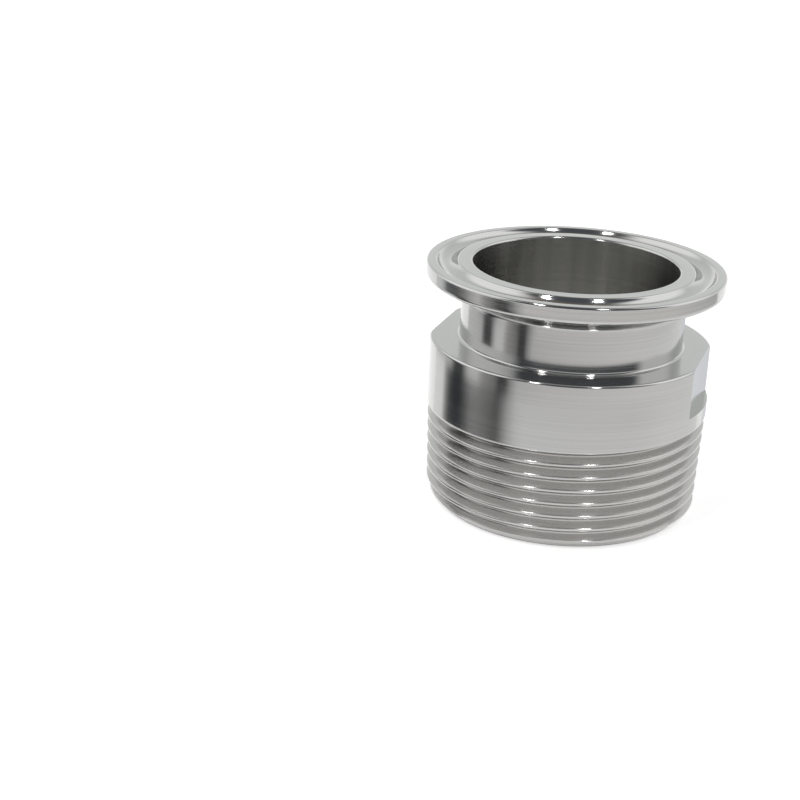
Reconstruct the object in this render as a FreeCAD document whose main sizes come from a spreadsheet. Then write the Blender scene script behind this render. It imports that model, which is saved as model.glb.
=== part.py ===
import FreeCAD, Part
import os
import Sketcher

# Threaded adapter: a clamp ferrule at the top and a male taper pipe thread below,
# turned as one piece from stainless steel bar and bored through.
# Z is the turning axis, and the end of the thread stands on Z = 0.
# The two wrench flats face +X and -X.

SIZES = {
    # lengths along the axis, stacked from the threaded end up to the clamp face
    "thread_length": 19.0,
    "body_length": 10.0,
    "ferrule_length": 13.3,
    # taper pipe thread, 11 turns to the inch, whose diameter is given at the gauge plane,
    # and the wall between it and the bore
    "gauge_diameter": 47.8,
    "thread_wall": 6.5,
    "gauge_length": 12.7,
    "taper_angle": 1.79,
    "thread_pitch": 2.309,
    "flank_angle": 27.5,
    "depth_per_pitch": 0.6403,
    "flat_per_pitch": 0.1667,
    "lead_chamfer": 1.5,
    "lead_in": 0.945,
    "run_out": 1.5,
    # clamp ferrule: tube wall, and a flange whose back slopes for the clamp
    "tube_wall": 1.65,
    "flange_overhang": 6.2,
    "rim_thickness": 2.72,
    "back_slope": 20.0,
    # groove for the gasket in the clamp face
    "lip_width": 1.9,
    "gasket_mouth": 3.0,
    "gasket_floor": 1.2,
    "gasket_depth": 1.3,
    # wrench flats
    "flat_depth": 1.3,
    "flat_ledge": 1.6,
    # bevels
    "neck_corner": 0.9,
    "rim_corner": 0.6,
    "edge_break": 0.4,
    # how far a cutter reaches outside the surface that it cuts
    "cutter_room": 0.3,
}

# Sizes that follow from the driving ones
FORMULAS = {
    "shoulder_level": "thread_length + body_length",
    "face_level": "shoulder_level + ferrule_length",
    "rim_level": "face_level - rim_thickness",
    "ledge_level": "thread_length + flat_ledge",
    "bore_radius": "gauge_diameter / 2 - thread_wall",
    "neck_radius": "bore_radius + tube_wall",
    "flange_radius": "neck_radius + flange_overhang",
    "neck_level": "rim_level - flange_overhang * tan(back_slope * 1deg)",
    "taper": "tan(taper_angle * 1deg)",
    "cone_start": "gauge_diameter / 2 + (lead_chamfer - gauge_length) * taper",
    "body_radius": "gauge_diameter / 2 + (thread_length - gauge_length) * taper",
    "flat_distance": "body_radius - flat_depth",
    "neck_bevel": "min(neck_corner; (body_radius - neck_radius) / 2)",
    "gasket_radius": "flange_radius - lip_width - gasket_mouth / 2",
    "gasket_flare": "(gasket_mouth - gasket_floor) / 2 / gasket_depth",
    "gasket_open": "gasket_mouth / 2 + cutter_room * gasket_flare",
    "cutter_start": "gauge_diameter / 2 - (lead_in + gauge_length) * taper",
    "thread_depth": "thread_pitch * depth_per_pitch",
    "half_root": "thread_pitch * flat_per_pitch / 2",
    "half_mouth": "half_root + (thread_depth + cutter_room) * tan(flank_angle * 1deg)",
}

doc = FreeCAD.newDocument("ThreadedAdapter")
sheet = doc.addObject("Spreadsheet::Sheet", "Sizes")
for row, (alias, value) in enumerate(SIZES.items(), start=1):
    sheet.set("A%d" % row, alias)
    sheet.set("B%d" % row, str(value))
    sheet.setAlias("B%d" % row, alias)
for row, (alias, formula) in enumerate(FORMULAS.items(), start=len(SIZES) + 2):
    sheet.set("A%d" % row, alias)
    sheet.set("B%d" % row, "=" + formula)
    sheet.setAlias("B%d" % row, alias)
doc.recompute()

adapter = doc.addObject("PartDesign::Body", "Adapter")
adapter.Label = "threaded_adapter"


def origin_plane(role):
    """The body's own plane of that role."""
    return next(p for p in adapter.Origin.OriginFeatures if p.Role == role)


def new_sketch(name, role):
    """An empty sketch that lies on one of the body's own planes."""
    sketch = adapter.newObject("Sketcher::SketchObject", name)
    sketch.AttachmentSupport = (origin_plane(role), [""])
    sketch.MapMode = "FlatFace"
    return sketch


def size(formula):
    """What a formula of the sheet comes to."""
    return float(sheet.evalExpression(formula))


def place_corner(sketch, corner, kind, formula):
    """Hold a corner at that distance from the sketch's origin, across or along."""
    if formula == "0":
        sketch.addConstraint(Sketcher.Constraint("PointOnObject", corner, 1, -1))
        return
    constraint = Sketcher.Constraint(kind, -1, 1, corner, 1, size(formula))
    number = sketch.addConstraint(constraint)
    sketch.setExpression("Constraints[%d]" % number, formula)


def closed_outline(sketch, corners):
    """Straight lines through corners that are given as pairs of formulas.

    Neighbours with the same formula are joined by an upright or a level line,
    so that only the first of them is held by a distance.
    """
    points = [FreeCAD.Vector(size(across), size(along), 0) for across, along in corners]
    for start, end in zip(points, points[1:] + points[:1]):
        sketch.addGeometry(Part.LineSegment(start, end), False)
    for line, (across, along) in enumerate(corners):
        following = (line + 1) % len(corners)
        sketch.addConstraint(Sketcher.Constraint("Coincident", line, 2, following, 1))
        if across == corners[following][0]:
            sketch.addConstraint(Sketcher.Constraint("Vertical", line))
        if along == corners[following][1]:
            sketch.addConstraint(Sketcher.Constraint("Horizontal", line))
        if across != corners[line - 1][0]:
            place_corner(sketch, line, "DistanceX", across)
        if along != corners[line - 1][1]:
            place_corner(sketch, line, "DistanceY", along)
    doc.recompute()


def edges_at(feature, radius, height):
    """The names of the circular edges of that radius at that height."""
    names = []
    for number, edge in enumerate(feature.Shape.Edges, start=1):
        if not isinstance(edge.Curve, Part.Circle):
            continue
        if abs(edge.Curve.Radius - radius) < 1e-4 and abs(edge.Curve.Center.z - height) < 1e-4:
            names.append("Edge%d" % number)
    if not names:
        raise RuntimeError("no edge of radius %.3f at %.3f" % (radius, height))
    return names


def bevel_edges(name, base, places, formula):
    """Bevel the circular edges at those radii and heights."""
    names = [edge for radius, height in places for edge in edges_at(base, radius, height)]
    bevel = adapter.newObject("PartDesign::Chamfer", name)
    bevel.Base = (base, names)
    bevel.setExpression("Size", formula)
    doc.recompute()
    return bevel


def must_cut(feature, base):
    """Stop if a cut took nothing off."""
    if not feature.Shape.Volume < base.Shape.Volume - 0.001:
        raise RuntimeError(feature.Name + " cuts nothing")


# The blank is one turned profile: bore, thread cone, body, neck and clamp flange.
blank_sketch = new_sketch("BlankProfile", "XZ_Plane")
closed_outline(
    blank_sketch,
    [
        ("Sizes.bore_radius", "0"),
        ("Sizes.cone_start - Sizes.lead_chamfer", "0"),
        ("Sizes.cone_start", "Sizes.lead_chamfer"),
        ("Sizes.body_radius", "Sizes.thread_length"),
        ("Sizes.body_radius", "Sizes.shoulder_level"),
        ("Sizes.neck_radius", "Sizes.shoulder_level"),
        ("Sizes.neck_radius", "Sizes.neck_level"),
        ("Sizes.flange_radius", "Sizes.rim_level"),
        ("Sizes.flange_radius", "Sizes.face_level"),
        ("Sizes.bore_radius", "Sizes.face_level"),
    ],
)

blank = adapter.newObject("PartDesign::Revolution", "Blank")
blank.Profile = blank_sketch
blank.ReferenceAxis = (blank_sketch, ["V_Axis"])
blank.Angle = 360.0
doc.recompute()

# The gasket seat is a groove in the clamp face, with sloping sides and a narrow floor.
seat_sketch = new_sketch("GasketSeatSection", "XZ_Plane")
closed_outline(
    seat_sketch,
    [
        ("Sizes.gasket_radius - Sizes.gasket_floor / 2", "Sizes.face_level - Sizes.gasket_depth"),
        ("Sizes.gasket_radius + Sizes.gasket_floor / 2", "Sizes.face_level - Sizes.gasket_depth"),
        ("Sizes.gasket_radius + Sizes.gasket_open", "Sizes.face_level + Sizes.cutter_room"),
        ("Sizes.gasket_radius - Sizes.gasket_open", "Sizes.face_level + Sizes.cutter_room"),
    ],
)

seat = adapter.newObject("PartDesign::Groove", "GasketSeat")
seat.Profile = seat_sketch
seat.ReferenceAxis = (seat_sketch, ["V_Axis"])
seat.Angle = 360.0
doc.recompute()
must_cut(seat, blank)

# The neck runs into flange and shoulder over bevels, the flange's back edge is eased
# for the clamp, and the other sharp edges are broken.
neck = bevel_edges(
    "NeckCorners",
    seat,
    [
        (sheet.neck_radius, sheet.shoulder_level),
        (sheet.neck_radius, sheet.neck_level),
    ],
    "Sizes.neck_bevel",
)
rim = bevel_edges("RimCorner", neck, [(sheet.flange_radius, sheet.rim_level)], "Sizes.rim_corner")
edges = bevel_edges(
    "BrokenEdges",
    rim,
    [
        (sheet.flange_radius, sheet.face_level),
        (sheet.body_radius, sheet.shoulder_level),
        (sheet.bore_radius, sheet.face_level),
        (sheet.bore_radius, 0.0),
    ],
    "Sizes.edge_break",
)

# Two wrench flats are milled across the body, from the shoulder down to a ledge.
flat_sketch = new_sketch("WrenchFlatOutline", "XY_Plane")
flat_sketch.setExpression("AttachmentOffset.Base.z", "Sizes.ledge_level")
closed_outline(
    flat_sketch,
    [
        ("Sizes.flat_distance", "-Sizes.body_radius"),
        ("Sizes.body_radius + Sizes.cutter_room", "-Sizes.body_radius"),
        ("Sizes.body_radius + Sizes.cutter_room", "Sizes.body_radius"),
        ("Sizes.flat_distance", "Sizes.body_radius"),
    ],
)
wrench_flat = adapter.newObject("PartDesign::Pocket", "WrenchFlat")
wrench_flat.Profile = flat_sketch
wrench_flat.Reversed = True
wrench_flat.setExpression("Length", "Sizes.shoulder_level - Sizes.ledge_level")
doc.recompute()
must_cut(wrench_flat, edges)

flats = adapter.newObject("PartDesign::Mirrored", "WrenchFlats")
flats.Originals = [wrench_flat]
flats.MirrorPlane = (origin_plane("YZ_Plane"), [""])
adapter.Tip = flats
doc.recompute()
must_cut(flats, wrench_flat)

# The thread is one right-hand groove that climbs the cone from below its end
# and runs out just short of the body. It starts over +Y.
cutter_sketch = new_sketch("ThreadCutter", "YZ_Plane")
closed_outline(
    cutter_sketch,
    [
        ("Sizes.cutter_start - Sizes.thread_depth", "-Sizes.lead_in - Sizes.half_root"),
        ("Sizes.cutter_start + Sizes.cutter_room", "-Sizes.lead_in - Sizes.half_mouth"),
        ("Sizes.cutter_start + Sizes.cutter_room", "-Sizes.lead_in + Sizes.half_mouth"),
        ("Sizes.cutter_start - Sizes.thread_depth", "-Sizes.lead_in + Sizes.half_root"),
    ],
)

thread = adapter.newObject("PartDesign::SubtractiveHelix", "TaperThread")
thread.Profile = cutter_sketch
thread.ReferenceAxis = (cutter_sketch, ["V_Axis"])
thread.Mode = "pitch-height-angle"
thread.setExpression("Pitch", "Sizes.thread_pitch")
thread.setExpression("Height", "Sizes.thread_length + Sizes.lead_in - Sizes.run_out")
thread.setExpression("Angle", "Sizes.taper_angle")
thread.LeftHanded = False
adapter.Tip = thread
doc.recompute()
must_cut(thread, flats)

# Nothing is written unless every feature is sound.
for item in doc.Objects:
    if "Invalid" in item.State or "Error" in item.State:
        raise RuntimeError(item.Name + " failed: " + ", ".join(item.State))
shape = adapter.Shape
if shape.isNull() or not shape.isValid() or len(shape.Solids) != 1:
    raise RuntimeError("the adapter is not one sound solid")

os.makedirs("parts", exist_ok=True)
shape.exportStep("parts/" + adapter.Label + ".step")
print("volume %.1f cubic millimetres, %d faces" % (shape.Volume, len(shape.Faces)))
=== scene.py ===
import math

import bmesh
import bpy
import numpy as np
from mathutils import Matrix, Vector


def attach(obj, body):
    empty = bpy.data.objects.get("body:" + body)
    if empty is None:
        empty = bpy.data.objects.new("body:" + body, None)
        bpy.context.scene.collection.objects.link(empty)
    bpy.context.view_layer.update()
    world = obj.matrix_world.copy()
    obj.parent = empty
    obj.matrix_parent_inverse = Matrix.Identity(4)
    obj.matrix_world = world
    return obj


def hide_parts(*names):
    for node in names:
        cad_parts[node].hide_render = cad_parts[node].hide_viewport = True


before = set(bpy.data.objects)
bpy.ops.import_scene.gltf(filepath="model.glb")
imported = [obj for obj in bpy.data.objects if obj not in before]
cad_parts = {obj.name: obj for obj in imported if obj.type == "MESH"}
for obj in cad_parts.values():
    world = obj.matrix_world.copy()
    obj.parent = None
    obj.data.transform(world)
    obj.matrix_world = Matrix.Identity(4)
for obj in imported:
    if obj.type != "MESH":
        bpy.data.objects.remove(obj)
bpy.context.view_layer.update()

# ---------------------------------------------------------------- camera
# The adapter is seen from a little above, as one looks at it on a bench. Place, turns and lens
# were fitted to its edges in the photograph.
camera_data = bpy.data.cameras.new("bench_view")
camera_data.lens = 70.674
camera_data.sensor_width = 36.0
camera_data.clip_start = 0.01
camera_data.dof.use_dof = False
camera = bpy.data.objects.new("bench_view", camera_data)
camera.matrix_world = (
    Matrix.Translation((0.05756, -0.25146, 0.11408))
    @ Matrix.Rotation(math.radians(19.304), 4, "Z")
    @ Matrix.Rotation(math.radians(69.132), 4, "X")
    @ Matrix.Rotation(math.radians(2.292), 4, "Z")
)
bpy.context.scene.collection.objects.link(camera)
bpy.context.scene.camera = camera

# ---------------------------------------------------------------- threaded adapter
# The adapter is one piece of stainless steel bar, bored through and turned on the lathe.
# Its outline is walked once round, from the bore over the thread, body and neck to the
# clamp flange. Radii and heights are in millimetres.
MM = 0.001
BORE = 17.4
BORE_BREAK = 0.4   # rounded edge at both ends of the bore
BORE_STEP = 6.0    # a row of points this far inside each end
NEAR = 0.05        # a row this close to a corner keeps the shading of the face beside it flat


def rounding(centre, size, start, end, steps):
    """Points of a rounded corner, as (radius, height), with angles in degrees."""
    turns = np.radians(np.linspace(start, end, steps + 1))
    return [(centre[0] + size * math.cos(t), centre[1] + size * math.sin(t)) for t in turns]


# Taper pipe thread: 11 turns to the inch, 55 degree form with rounded crests and roots,
# on a cone of 1 in 16. It climbs right-handed and the tool is drawn out at its end.
PITCH = 2.309
FORM_DEPTH = 0.640327
FORM_ROUND = 0.137329
DEPTH = FORM_DEPTH * PITCH
ROUND = FORM_ROUND * PITCH
FLANK = math.radians(27.5)
TAPER = math.tan(math.radians(1.79))
GAUGE_RADIUS = 23.9
GAUGE_HEIGHT = 12.7
CUT_HEIGHT = 16.90          # middle of the cut where it crosses +X
CUT_END = 88.0              # degrees past that, where the tool has left the steel
DRAW_OUT = 55.0             # degrees over which it is drawn out
DRAWN_CLEAR = 0.3           # how far outside the cone it ends
LEAD_CHAMFER = 1.8
THREAD_FOOT = 21.8          # last row of points of the flat foot
CONE_TOP = 17.0             # the cone runs into the body from here
CONE_RUN = 0.5
THREAD_TOP = 19.0
CREST_EASE = 0.02
CHAMFER_EASE = 0.16
BODY = 24.09


def thread_form(offset):
    """Height of the 55 degree form above its root, at that distance from the groove's middle."""
    away = np.abs(offset)
    arc_end = ROUND * math.cos(FLANK)
    arc_rise = ROUND * (1 - math.sin(FLANK))
    root = ROUND - np.sqrt(np.maximum(ROUND**2 - np.minimum(away, arc_end) ** 2, 0))
    flank = arc_rise + (away - arc_end) / math.tan(FLANK)
    to_crest = np.minimum(PITCH / 2 - away, arc_end)
    crest = DEPTH - ROUND + np.sqrt(np.maximum(ROUND**2 - to_crest**2, 0))
    return np.where(away < arc_end, root, np.where(away > PITCH / 2 - arc_end, crest, flank))


def softly_less(first, second, ease):
    """The smaller of two, with the corner between them eased."""
    share = np.clip(0.5 + 0.5 * (second - first) / ease, 0, 1)
    return second * (1 - share) + first * share - ease * share * (1 - share)


def thread_radius(height, angle):
    """Radius of the threaded cone at a height and an angle round the axis."""
    cone = GAUGE_RADIUS + (height - GAUGE_HEIGHT) * TAPER
    rise = np.clip((height - CONE_TOP) / CONE_RUN, 0, 1)
    cone = cone + (BODY - cone) * rise * rise * (3 - 2 * rise)
    turns = (height - CUT_HEIGHT) / PITCH - angle / (2 * math.pi)
    nearest = np.round(turns)
    offset = (turns - nearest) * PITCH
    wound = 360 * nearest + np.degrees(angle)
    drawn = np.clip((wound - (CUT_END - DRAW_OUT)) / DRAW_OUT, 0, 1)
    cut = cone - DEPTH + thread_form(offset) + drawn**2 * (DEPTH + DRAWN_CLEAR)
    cut = np.where(wound > CUT_END, cone + DRAWN_CLEAR, cut)
    threaded = softly_less(cone, cut, CREST_EASE)
    chamfer = GAUGE_RADIUS + (LEAD_CHAMFER - GAUGE_HEIGHT) * TAPER - LEAD_CHAMFER + height
    return softly_less(threaded, chamfer, CHAMFER_EASE)


# Body: a plain band over the thread, with two wrench flats milled across it, down to a ledge.
BAND_ROWS = (0.08, 0.15)    # two rows of points this far over the thread's top
BODY_EDGE = 0.45
SHOULDER = 29.0
FLAT = 22.8
LEDGE = 20.6
# Neck: the wall of the tube, which runs into body and flange over hollow rounds.
NECK = 19.05
NECK_FOOT = 0.5
NECK_ROUND = 1.7
NEAR_ROUND = 0.06
# Clamp flange: a rim whose back slopes for the clamp, and a round gasket groove in its face.
FLANGE = 25.25
FACE = 42.3
RIM = 39.58
RIM_EDGE = 0.4
RIM_BACK = 1.15
SLOPE = math.radians(20.0)
GASKET_MIDDLE = 21.75
GASKET_ROUND = 1.9
GASKET_DEPTH = 1.2
GASKET_LIP = 0.4

bottom_rows = [
    (BORE, FACE - BORE_STEP),
    (BORE, BORE_STEP),
    (BORE, BORE_BREAK + NEAR),
    *rounding((BORE + BORE_BREAK, BORE_BREAK), BORE_BREAK, 180, 270, 4),
    (BORE + BORE_BREAK + NEAR, 0.0),
    (THREAD_FOOT, 0.0),
]

# (radius, height, whether the row is milled by the flats)
body_rows = [
    *[(BODY, THREAD_TOP + over, False) for over in BAND_ROWS],
    (BODY, LEDGE - NEAR, False),
    (BODY, LEDGE, False),
    (BODY, LEDGE, True),
    (BODY, LEDGE + NEAR, True),
    (BODY, (LEDGE + SHOULDER) / 2, True),
    (BODY, SHOULDER - BODY_EDGE - NEAR, True),
]
for r, z in rounding((BODY - BODY_EDGE, SHOULDER - BODY_EDGE), BODY_EDGE, 0, 90, 6):
    body_rows.append((r, z, True))
body_rows.append((BODY - BODY_EDGE - NEAR, SHOULDER, True))

# where the hollow round under the flange touches the neck and the sloping back
back_turn = math.pi / 2 - SLOPE
slope_at_neck = RIM - (FLANGE - NECK) * math.tan(SLOPE)
tangent = NECK_ROUND * math.tan(back_turn / 2)
under_centre = (NECK + NECK_ROUND, slope_at_neck - tangent)
rim_tangent = RIM_BACK * math.tan(back_turn / 2)
slope_degrees = math.degrees(SLOPE)

upper_rows = [
    (NECK + NECK_FOOT + NEAR_ROUND, SHOULDER),
    *rounding((NECK + NECK_FOOT, SHOULDER + NECK_FOOT), NECK_FOOT, 270, 180, 10),
    (NECK, SHOULDER + NECK_FOOT + NEAR_ROUND),
    (NECK, under_centre[1] - NEAR_ROUND),
    *rounding(under_centre, NECK_ROUND, 180, 90 + slope_degrees, 10),
]
slope_start = upper_rows[-1]
rim_centre = (FLANGE - RIM_BACK, RIM + rim_tangent)
rim_low = rounding(rim_centre, RIM_BACK, slope_degrees - 90, 0, 8)
upper_rows += [
    (slope_start[0] + NEAR_ROUND, slope_start[1] + NEAR_ROUND * math.tan(SLOPE)),
    (rim_low[0][0] - NEAR_ROUND, rim_low[0][1] - NEAR_ROUND * math.tan(SLOPE)),
    *rim_low,
    (FLANGE, rim_low[-1][1] + NEAR),
    (FLANGE, FACE - RIM_EDGE - NEAR),
    *rounding((FLANGE - RIM_EDGE, FACE - RIM_EDGE), RIM_EDGE, 0, 90, 6),
    (FLANGE - RIM_EDGE - NEAR, FACE),
]

# The groove is a hollow round whose lips are rounded over.
gasket_centre = (GASKET_MIDDLE, FACE - GASKET_DEPTH + GASKET_ROUND)
lip_height = FACE - GASKET_LIP
reach = GASKET_ROUND + GASKET_LIP
lip_out = math.sqrt(reach**2 - (gasket_centre[1] - lip_height) ** 2)
lip_turn = math.degrees(math.atan2(gasket_centre[1] - lip_height, lip_out))
upper_rows += [
    (GASKET_MIDDLE + lip_out + NEAR, FACE),
    *rounding((GASKET_MIDDLE + lip_out, lip_height), GASKET_LIP, 90, 180 - lip_turn, 6),
    *rounding(gasket_centre, GASKET_ROUND, -lip_turn, -180 + lip_turn, 22)[1:-1],
    *rounding((GASKET_MIDDLE - lip_out, lip_height), GASKET_LIP, lip_turn, 90, 6),
    (GASKET_MIDDLE - lip_out - NEAR, FACE),
    (BORE + BORE_BREAK + NEAR, FACE),
    *rounding((BORE + BORE_BREAK, FACE - BORE_BREAK), BORE_BREAK, 90, 180, 6),
    (BORE, FACE - BORE_BREAK - NEAR),
]

# Columns of points stand round the axis, closer together where the flats begin and end.
# Angles are in degrees, and the thread's seam, where one turn meets the next, is at the back.
COLUMN_TURN = 1.25
FINE_TURN = 0.375
FINE_REACH = 3.0
PAST_FLAT = 0.12
LEAST_TURN = 0.08
SEAM = 90.0
flat_angle = math.degrees(math.acos(FLAT / BODY))
angles = set(np.round(np.arange(0, 360, COLUMN_TURN), 4))
for side in (0, 180):
    for sign in (-1, 1):
        for step in [*np.arange(-FINE_REACH, 0.01, FINE_TURN), PAST_FLAT]:
            angles.add(round(float((side + sign * (flat_angle + step)) % 360), 4))
around = np.array(sorted(angles))
around = around[np.append(np.diff(around) > LEAST_TURN, True)]
theta = np.radians(np.sort((around - SEAM) % 360))
phi = theta + math.radians(SEAM)
columns = len(phi)

# Rows of points climb with the thread: rounded root, flank, rounded crest, flank.
# Each round turns by 62.5 degrees to either side, where it meets the flanks.
steps = []
arc_steps = np.radians(np.linspace(-62.5, 62.5, 9))
for t in arc_steps:
    steps.append(ROUND * math.sin(t) / PITCH)
steps.append(0.25)
for t in arc_steps:
    steps.append(0.5 + ROUND * math.sin(t) / PITCH)
steps.append(0.75)
steps = np.array(steps)
per_turn = len(steps)
first_turn = CUT_HEIGHT + PITCH * 0.25
lowest = first_turn - PITCH * math.ceil(first_turn / PITCH + 1)
whole_turns = math.ceil((THREAD_TOP - lowest) / PITCH) + 1

thread_rows = []
for row in range(whole_turns * per_turn):
    place = lowest + PITCH * (row // per_turn + steps[row % per_turn])
    height = np.clip(place + PITCH * theta / (2 * math.pi), 0.0, THREAD_TOP)
    thread_rows.append((thread_radius(height, phi), height))

rows = []
for r, z in bottom_rows:
    rows.append((np.full(columns, r), np.full(columns, z)))
thread_first = len(rows)
rows += thread_rows
thread_last = len(rows) - 1
for r, z, milled in body_rows:
    radius = np.full(columns, r)
    if milled:
        radius = np.minimum(radius, FLAT / np.maximum(np.abs(np.cos(phi)), 1e-6))
    rows.append((radius, np.full(columns, z)))
for r, z in upper_rows:
    rows.append((np.full(columns, r), np.full(columns, z)))

radius = np.array([row[0] for row in rows])
height = np.array([row[1] for row in rows])
points = np.stack(
    [radius * np.cos(phi), radius * np.sin(phi), height], axis=-1
).reshape(-1, 3) * MM

faces = []
total = len(rows)
for row in range(total):
    above = (row + 1) % total
    for column in range(columns):
        beside = (column + 1) % columns
        low, high = row, above
        if beside == 0:
            # at the seam a row of the thread goes on into the row one turn further up
            if thread_first <= row <= thread_last:
                low = min(row + per_turn, thread_last)
            if thread_first <= above <= thread_last:
                high = min(above + per_turn, thread_last)
        faces.append(
            (
                row * columns + column,
                low * columns + beside,
                high * columns + beside,
                above * columns + column,
            )
        )

SAME_POINT = 0.002
SHARP_EDGE = math.radians(28)
adapter_mesh = bpy.data.meshes.new("threaded_adapter_turned")
adapter_mesh.from_pydata([tuple(p) for p in points], [], faces)
shell = bmesh.new()
shell.from_mesh(adapter_mesh)
bmesh.ops.remove_doubles(shell, verts=shell.verts, dist=SAME_POINT * MM)
bmesh.ops.dissolve_degenerate(shell, edges=shell.edges, dist=SAME_POINT / 2 * MM)
bmesh.ops.recalc_face_normals(shell, faces=shell.faces)
for edge in shell.edges:
    if len(edge.link_faces) == 2:
        edge.smooth = edge.calc_face_angle(0.0) < SHARP_EDGE
for face in shell.faces:
    face.smooth = True
shell.to_mesh(adapter_mesh)
shell.free()
adapter = bpy.data.objects.new("turned_adapter", adapter_mesh)
bpy.context.scene.collection.objects.link(adapter)

# Bright turned steel: sharp round the axis and drawn out across the fine lathe lines, which
# follow the outline of the thread. The thread and the bored wall are left duller.
# Heights and radii are in metres here, as the shader reads them.
LINES = 4200.0
LINE_LOW, LINE_HIGH = 0.3, 0.7
STREAKS = 420.0
BORED_FROM, BORED_TO = 0.01742, 0.0175
THREAD_FROM, THREAD_TO = 0.0174, 0.0177
steel = bpy.data.materials.new("turned_steel_finish")
steel.use_nodes = True
nodes = steel.node_tree.nodes
links = steel.node_tree.links
nodes.clear()
output = nodes.new("ShaderNodeOutputMaterial")
metal = nodes.new("ShaderNodeBsdfPrincipled")
metal.inputs["Metallic"].default_value = 1.0
metal.inputs["Anisotropic"].default_value = 0.85
metal.inputs["Anisotropic Rotation"].default_value = 0.25
links.new(metal.outputs[0], output.inputs[0])
direction = nodes.new("ShaderNodeTangent")
direction.direction_type = "RADIAL"
direction.axis = "Z"
links.new(direction.outputs[0], metal.inputs["Tangent"])

place = nodes.new("ShaderNodeTexCoord")
parts = nodes.new("ShaderNodeSeparateXYZ")
links.new(place.outputs["Object"], parts.inputs[0])
flatten = nodes.new("ShaderNodeVectorMath")
flatten.operation = "MULTIPLY"
flatten.inputs[1].default_value = (1, 1, 0)
links.new(place.outputs["Object"], flatten.inputs[0])
distance = nodes.new("ShaderNodeVectorMath")
distance.operation = "LENGTH"
links.new(flatten.outputs[0], distance.inputs[0])
depth = nodes.new("ShaderNodeMath")
depth.operation = "MULTIPLY_ADD"
depth.inputs[1].default_value = -TAPER
links.new(parts.outputs[2], depth.inputs[0])
links.new(distance.outputs["Value"], depth.inputs[2])
above = nodes.new("ShaderNodeMath")
above.operation = "MAXIMUM"
above.inputs[1].default_value = CONE_TOP * MM
links.new(parts.outputs[2], above.inputs[0])
outline = nodes.new("ShaderNodeCombineXYZ")
links.new(depth.outputs[0], outline.inputs[0])
links.new(above.outputs[0], outline.inputs[1])
lines = nodes.new("ShaderNodeTexNoise")
lines.noise_dimensions = "2D"
lines.inputs["Scale"].default_value = LINES
lines.inputs["Detail"].default_value = 3.0
lines.inputs["Roughness"].default_value = 0.65
links.new(outline.outputs[0], lines.inputs["Vector"])
streaks = nodes.new("ShaderNodeTexNoise")
streaks.noise_dimensions = "2D"
streaks.inputs["Scale"].default_value = STREAKS
streaks.inputs["Detail"].default_value = 2.0
links.new(flatten.outputs[0], streaks.inputs["Vector"])


def between(name, source, low, high, first, last):
    """A value or colour that runs from first to last as the source goes from low to high."""
    ramp = nodes.new("ShaderNodeMapRange")
    ramp.name = name
    if isinstance(first, tuple):
        ramp.data_type = "FLOAT_VECTOR"
        for socket, value in zip((7, 8, 9, 10), ((low,) * 3, (high,) * 3, first, last)):
            ramp.inputs[socket].default_value = value
        links.new(source, ramp.inputs[6])
        return ramp.outputs[1]
    for socket, value in zip((1, 2, 3, 4), (low, high, first, last)):
        ramp.inputs[socket].default_value = value
    links.new(source, ramp.inputs[0])
    return ramp.outputs[0]


fac = lines.outputs["Fac"]
turned = between("turned_roughness", fac, LINE_LOW, LINE_HIGH, 0.10, 0.15)
bored = between("bored_share", distance.outputs["Value"], BORED_FROM, BORED_TO, 1.0, 0.0)
threaded = between("threaded_share", parts.outputs[2], THREAD_FROM, THREAD_TO, 1.0, 0.0)
rough_thread = between("threaded_roughness", parts.outputs[2], THREAD_FROM, THREAD_TO, 0.7, 0.0)
cut = nodes.new("ShaderNodeMath")
cut.operation = "MAXIMUM"
links.new(bored, cut.inputs[0])
links.new(rough_thread, cut.inputs[1])
dull = nodes.new("ShaderNodeMath")
dull.operation = "MULTIPLY_ADD"
dull.inputs[1].default_value = 0.10
links.new(cut.outputs[0], dull.inputs[0])
links.new(turned, dull.inputs[2])
links.new(dull.outputs[0], metal.inputs["Roughness"])

bright = between(
    "turned_colour", fac, LINE_LOW, LINE_HIGH, (0.48, 0.48, 0.475), (0.52, 0.52, 0.515)
)
duller = between(
    "threaded_colour", fac, LINE_LOW, LINE_HIGH, (0.475, 0.465, 0.453), (0.53, 0.526, 0.517)
)
# the bore has faint streaks along it, and its paler colour is painted light inside the bore
pale = between(
    "bored_streaks_and_painted_light", streaks.outputs["Fac"], LINE_LOW, LINE_HIGH,
    (0.50, 0.50, 0.48), (0.60, 0.595, 0.575),
)


def either(share, first, second):
    """The second colour where the share is 1, and the first elsewhere."""
    mix = nodes.new("ShaderNodeMix")
    mix.data_type = "RGBA"
    links.new(share, mix.inputs[0])
    links.new(first, mix.inputs[6])
    links.new(second, mix.inputs[7])
    return mix.outputs[2]


colour = either(bored, either(threaded, bright, duller), pale)
links.new(colour, metal.inputs["Base Color"])
grooves = nodes.new("ShaderNodeBump")
grooves.inputs["Strength"].default_value = 0.08
grooves.inputs["Distance"].default_value = 0.00001
links.new(fac, grooves.inputs["Height"])
links.new(grooves.outputs[0], metal.inputs["Normal"])
adapter.data.materials.append(steel)

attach(adapter, "root")
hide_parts("threaded_adapter")

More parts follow.
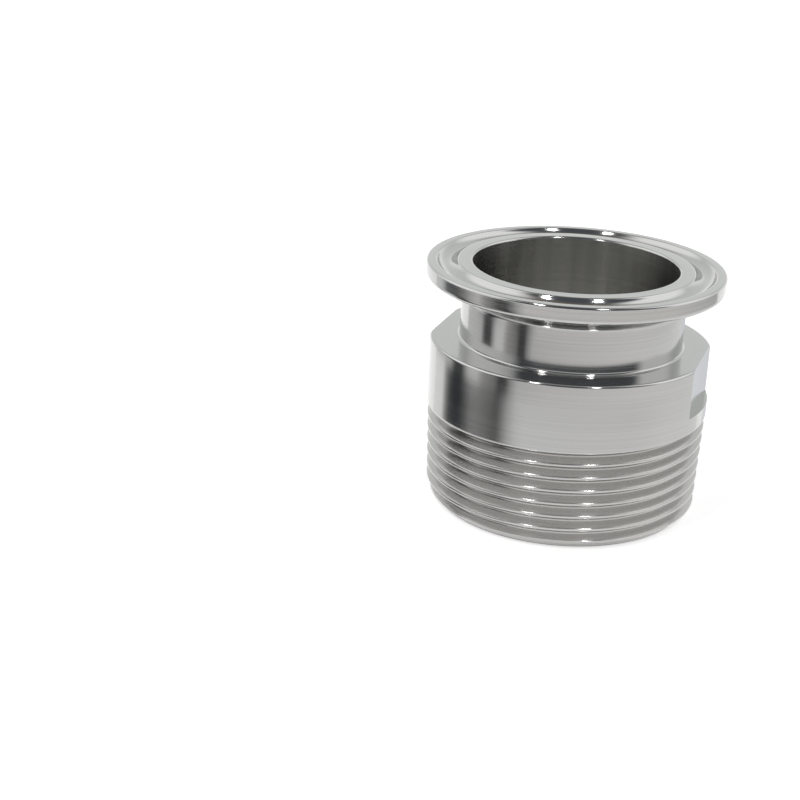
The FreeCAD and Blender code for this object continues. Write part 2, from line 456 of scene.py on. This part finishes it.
# ---------------------------------------------------------------- bench and light
# A plain pale bench, painted white, which keeps the adapter's soft shadow. It glows a little
# to the eye and in the steel, so that it comes out white where nothing stands.
HALF = 3.0
UNDER = -0.00003
bench_mesh = bpy.data.meshes.new("bench_top")
bench_mesh.from_pydata(
    [(-HALF, -HALF, UNDER), (HALF, -HALF, UNDER), (HALF, HALF, UNDER), (-HALF, HALF, UNDER)],
    [],
    [(0, 1, 2, 3)],
)
bench = bpy.data.objects.new("bench_top", bench_mesh)
bpy.context.scene.collection.objects.link(bench)
paint = bpy.data.materials.new("pale_bench")
paint.use_nodes = True
nodes = paint.node_tree.nodes
links = paint.node_tree.links
nodes.clear()
output = nodes.new("ShaderNodeOutputMaterial")
dull = nodes.new("ShaderNodeBsdfDiffuse")
dull.inputs["Color"].default_value = (0.88, 0.88, 0.88, 1)
glow = nodes.new("ShaderNodeEmission")
path = nodes.new("ShaderNodeLightPath")
seen = path.outputs["Is Camera Ray"]
for ray in ("Is Glossy Ray", "Is Transmission Ray"):
    larger = nodes.new("ShaderNodeMath")
    larger.operation = "MAXIMUM"
    links.new(seen, larger.inputs[0])
    links.new(path.outputs[ray], larger.inputs[1])
    seen = larger.outputs[0]
level = nodes.new("ShaderNodeMath")
level.operation = "MULTIPLY"
level.inputs[1].default_value = 0.50
links.new(seen, level.inputs[0])
links.new(level.outputs[0], glow.inputs["Strength"])
both = nodes.new("ShaderNodeAddShader")
links.new(dull.outputs[0], both.inputs[0])
links.new(glow.outputs[0], both.inputs[1])
links.new(both.outputs[0], output.inputs[0])
bench.data.materials.append(paint)

# A white room, bright at the horizon and dark on the side that one looks from. Angles round
# the adapter are in degrees from FRONT, the side looked from.
FRONT = -77.2
room = bpy.data.worlds.new("white_room")
room.use_nodes = True
bpy.context.scene.world = room
nodes = room.node_tree.nodes
links = room.node_tree.links
nodes.clear()
output = nodes.new("ShaderNodeOutputWorld")
sky = nodes.new("ShaderNodeBackground")
sky.inputs["Strength"].default_value = 1.0
toward = nodes.new("ShaderNodeTexCoord")


def shaded(side, start, end):
    """How far a direction points to one side, from 0 to 1 between two cosines."""
    cosine = nodes.new("ShaderNodeVectorMath")
    cosine.operation = "DOT_PRODUCT"
    cosine.inputs[1].default_value = side
    links.new(toward.outputs["Generated"], cosine.inputs[0])
    ramp = nodes.new("ShaderNodeMapRange")
    ramp.interpolation_type = "SMOOTHSTEP"
    ramp.inputs["From Min"].default_value = start
    ramp.inputs["From Max"].default_value = end
    links.new(cosine.outputs["Value"], ramp.inputs["Value"])
    return ramp.outputs[0]


def blended(share, first, last):
    """Colour that goes from first to last by that share."""
    mix = nodes.new("ShaderNodeMix")
    mix.data_type = "RGBA"
    links.new(share, mix.inputs[0])
    for socket, value in ((6, first), (7, last)):
        if isinstance(value, tuple):
            mix.inputs[socket].default_value = (*value, 1)
        else:
            links.new(value, mix.inputs[socket])
    return mix.outputs[2]


# White near the horizon, pale walls above it and a greyer ceiling.
walls = blended(shaded((0, 0, 1), 0.10, 0.32), (1.10, 1.10, 1.10), (0.84, 0.865, 0.85))
room_colour = blended(shaded((0, 0, 1), 0.62, 0.88), walls, (0.20, 0.178, 0.155))
# Both sides are brighter, as from two large windows.
WINDOW_OUT, WINDOW_UP = 0.8, 0.6
for turn in (-97, 97):
    t = math.radians(FRONT + turn)
    middle = (WINDOW_OUT * math.cos(t), WINDOW_OUT * math.sin(t), WINDOW_UP)
    lit = shaded(middle, 0.78, 0.95)
    room_colour = blended(lit, room_colour, (1.35, 1.35, 1.35))
# The side that one looks from is dark from just over the horizon up.
dark_share = shaded((0, 0, 1), -0.02, 0.06)
for turn in (-62, 84):
    t = math.radians(FRONT + turn - math.copysign(90, turn))
    times = nodes.new("ShaderNodeMath")
    times.operation = "MULTIPLY"
    links.new(dark_share, times.inputs[0])
    links.new(shaded((math.cos(t), math.sin(t), 0), 0.0, 0.24), times.inputs[1])
    dark_share = times.outputs[0]
room_colour = blended(dark_share, room_colour, (0.11, 0.12, 0.135))
links.new(room_colour, sky.inputs["Color"])
links.new(sky.outputs[0], output.inputs[0])


# Curved cards stand beside the adapter, one over the other. They glow in painted shades, which
# are painted reflections that give the polished steel its light and dark bands. Nothing but the
# steel's reflections shows them.
CARD_RADIUS = 0.052
CARD_STEP = 2.0


def reflection_card(name, low, high, shades):
    """A curved glowing card from one height to another, a painted reflection which only
    reflections show.

    Its shades run from left to right, as (angle, shade) or (angle, shade at foot, at top).
    """
    turns = [stop[0] for stop in shades]
    pieces = math.ceil((turns[-1] - turns[0]) / CARD_STEP)
    across = np.linspace(turns[0], turns[-1], 1 + pieces)
    corners, tints = [], []
    for height, end in ((low, 1), (high, -1)):
        mixed = [
            np.interp(across, turns, [stop[end][part] for stop in shades]) for part in range(3)
        ]
        for turn, *tint in zip(across, *mixed):
            t = math.radians(FRONT + turn)
            corners.append((CARD_RADIUS * math.cos(t), CARD_RADIUS * math.sin(t), height))
            tints.append((*tint, 1))
    wide = len(across)
    mesh = bpy.data.meshes.new(name)
    mesh.from_pydata(corners, [], [(i, i + 1, i + wide + 1, i + wide) for i in range(wide - 1)])
    paint = mesh.color_attributes.new("shade", "FLOAT_COLOR", "POINT")
    for i, tint in enumerate(tints):
        paint.data[i].color = tint
    card = bpy.data.objects.new(name, mesh)
    bpy.context.scene.collection.objects.link(card)
    # the card glows in its painted shades, as a painted reflection and not as a lamp
    card_glow = bpy.data.materials.new(name)
    card_glow.use_nodes = True
    nodes = card_glow.node_tree.nodes
    nodes.clear()
    out = nodes.new("ShaderNodeOutputMaterial")
    shade = nodes.new("ShaderNodeEmission")
    painted = nodes.new("ShaderNodeVertexColor")
    painted.layer_name = "shade"
    card_glow.node_tree.links.new(painted.outputs[0], shade.inputs[0])
    card_glow.node_tree.links.new(shade.outputs[0], out.inputs[0])
    mesh.materials.append(card_glow)
    card.visible_camera = False
    card.visible_diffuse = False
    card.visible_shadow = False


def grey(level, warm=0.0):
    """A grey that is warmer or cooler."""
    return (level * (1 + warm), level, level * (1 - warm))


WHITE = grey(1.0)
DARK = grey(0.05, -0.10)
LILAC = (0.74, 0.75, 0.80)

# the lowest card shows in the body, above the thread
reflection_card("flag_low", 0.0, 0.015, [
    (-112, grey(1.05)), (-97, grey(1.05)), (-93, grey(0.45)), (-88, grey(0.13)), (-82, DARK),
    (-75, DARK), (-70, grey(0.13)), (-64, grey(0.29)), (-58, grey(0.30)), (-50, grey(0.22)),
    (-43, grey(0.14)), (-40, grey(0.28)), (-35, grey(0.6)), (-30, grey(0.82)),
    (-25, grey(0.94), grey(0.89)), (45, grey(1.00, 0.01), grey(0.87, 0.01)),
    (70, grey(1.04, 0.01), grey(0.96, 0.01)), (110, grey(1.0), grey(0.98)),
])
# this one shows in the wrench flat
reflection_card("flag_side", 0.0, 0.022, [
    (122, WHITE), (136, LILAC), (170, (0.74, 0.75, 0.82)), (186, WHITE),
])
# this one shows in the neck
reflection_card("flag_middle", 0.015, 0.0245, [
    (-112, grey(0.80), grey(0.72)), (-90, grey(0.72), grey(0.70)), (-86, grey(0.62)),
    (-83, grey(0.22)), (-80, grey(0.09)), (-74, grey(0.10)), (-71, grey(0.40)), (-67, grey(0.84)),
    (-60, grey(0.84)), (-55, grey(0.45, 0.02)), (-46, grey(0.28)), (-42, grey(0.08)),
    (-38, grey(0.08)), (-34, grey(0.45)), (-30, grey(0.70)),
    (-10, grey(0.84, 0.02), grey(0.74, 0.02)), (50, grey(0.98, 0.01), grey(0.90, 0.01)),
    (110, WHITE, grey(0.95)), (128, grey(0.9)), (146, (0.60, 0.62, 0.67)),
    (166, grey(0.85, -0.02)), (184, WHITE),
])
# this one shows in the flange's rim
reflection_card("flag_upper", 0.0245, 0.036, [
    (-104, grey(0.85)), (-97, grey(0.85)), (-93, grey(0.7, -0.02)), (-88, grey(0.2, -0.03)),
    (-82, grey(0.14, -0.03)), (-76, grey(0.16)), (-70, grey(0.3)), (-63, grey(0.62)),
    (-58, grey(0.74, 0.02)), (-53, grey(0.42, 0.02)), (-48, grey(0.26)), (-43, grey(0.08)),
    (-38, grey(0.10)), (-34, grey(0.32)), (-30, grey(0.62)), (-26, grey(0.82, 0.02)),
    (60, grey(0.86, 0.03), grey(0.84, 0.03)), (85, grey(0.74)), (110, grey(0.6)),
])

# Two soft oval lamps stand in front, above the adapter, one to the left and one to the right.
# They give the glints on its rounded edges.
LAMP_UP = 55.0
LAMP_AWAY = 0.7
LAMP_WIDE, LAMP_TALL = 0.06, 0.14
LAMP_WATTS = 0.65
AIM = Vector((0, 0, 0.025))
for name, turn in (("lamp_left", -33.5), ("lamp_right", 31)):
    lamp_data = bpy.data.lights.new(name, "AREA")
    lamp_data.shape = "ELLIPSE"
    lamp_data.size = LAMP_WIDE
    lamp_data.size_y = LAMP_TALL
    lamp_data.energy = LAMP_WATTS
    lamp = bpy.data.objects.new(name, lamp_data)
    a, e = math.radians(FRONT + turn), math.radians(LAMP_UP)
    spot = Vector((math.cos(a) * math.cos(e), math.sin(a) * math.cos(e), math.sin(e))) * LAMP_AWAY
    lamp.location = AIM + spot
    lamp.rotation_euler = (-spot).to_track_quat("-Z", "Y").to_euler()
    bpy.context.scene.collection.objects.link(lamp)

bpy.context.scene.view_settings.view_transform = "Standard"
